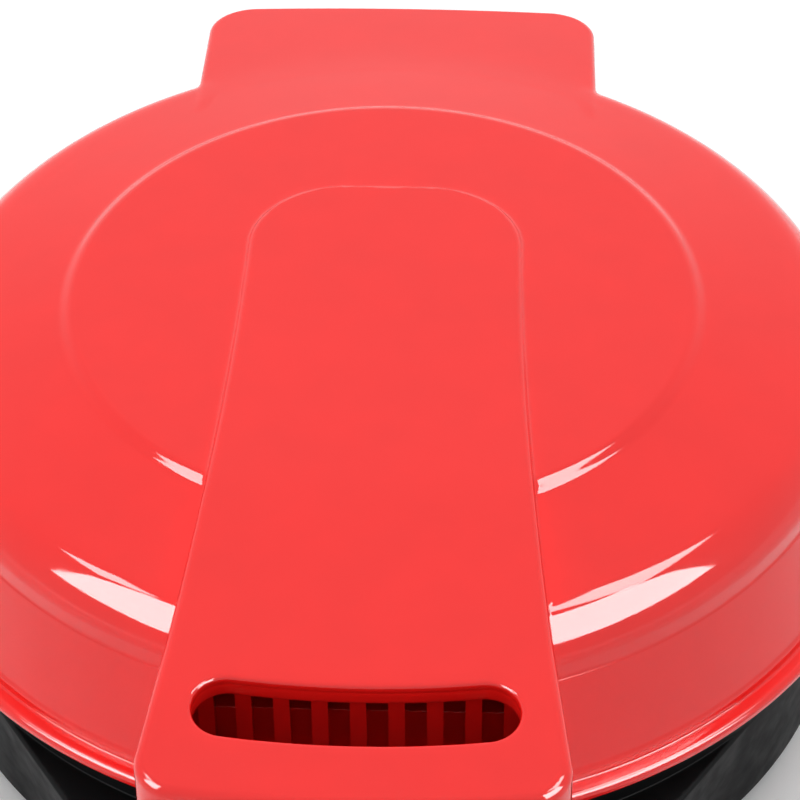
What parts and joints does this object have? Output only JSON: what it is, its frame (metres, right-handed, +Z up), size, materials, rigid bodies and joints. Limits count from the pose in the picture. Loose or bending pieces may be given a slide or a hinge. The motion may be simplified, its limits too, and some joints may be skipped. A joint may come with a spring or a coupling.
{
  "type": "waffle cone maker",
  "caption": "Round hinged waffle cone maker with ridged baking plates, a tongue-shaped lid handle, a swinging latch and a low base on rubber feet.",
  "frame": {"origin": "centre of the object's box at the table, under the feet", "axes": "+Z up, -Y towards the handle and the user, +X to the user's right"},
  "size_m": [0.215, 0.2658, 0.0924],
  "materials": {
    "lid_plastic": "glossy red heat-resistant plastic",
    "base_plastic": "satin black heat-resistant plastic",
    "plate_coating": "dark non-stick coating over cast aluminium",
    "sheet_steel": "aluminised sheet",
    "heater_steel": "heat-toned steel tube",
    "screw_steel": "zinc plated",
    "power_lens": "clear red",
    "ready_lens": "clear green",
    "lamp_glass": "clear",
    "wire_sheath": "silicone sheath",
    "ceramic_white": "ceramic",
    "block_nylon": "nylon",
    "rubber_black": "matte rubber"
  },
  "bodies": {
    "base": {"base_shell": "base_plastic", "hinge_pins": "screw_steel", "wire_sleeve": "rubber_black", "lower_pan": "sheet_steel", "lower_pan_screws": "screw_steel", "lower_plate": "plate_coating", "lower_element": "heater_steel", "lower_spacers": "screw_steel", "lower_plate_screws": "screw_steel", "thermostat": "ceramic_white", "terminal_block": "block_nylon", "base_wires": "wire_sheath", "cord_gland": "rubber_black", "cord_clamp": "base_plastic", "clamp_screws": "screw_steel", "bottom_cover": "base_plastic", "cover_screws": "screw_steel", "rubber_feet": "rubber_black"},
    "lid": {"lid_shell": "lid_plastic", "vent_grille": "lid_plastic", "handle_cover": "base_plastic", "handle_screws": "screw_steel", "latch_pin": "screw_steel", "power_lens": "power_lens", "ready_lens": "ready_lens", "indicator_lamps": "lamp_glass", "lamp_leads": "wire_sheath", "upper_pan": "sheet_steel", "upper_pan_screws": "screw_steel", "upper_plate": "plate_coating", "upper_element": "heater_steel", "upper_spacers": "screw_steel", "upper_plate_screws": "screw_steel", "thermal_fuse": "ceramic_white", "lid_wires": "wire_sheath"},
    "latch": {"latch": "base_plastic"}
  },
  "joints": [
    {"name": "lid_hinge", "type": "hinge", "parent": "base", "child": "lid", "pos_m": [0, 0.12485, 0.049], "axis": [-1, 0, 0], "range_deg": [0, 100]},
    {"name": "latch_pivot", "type": "hinge", "parent": "lid", "child": "latch", "pos_m": [0, -0.12585, 0.068], "axis": [1, 0, 0], "range_deg": [-50, 9]}
  ]
}
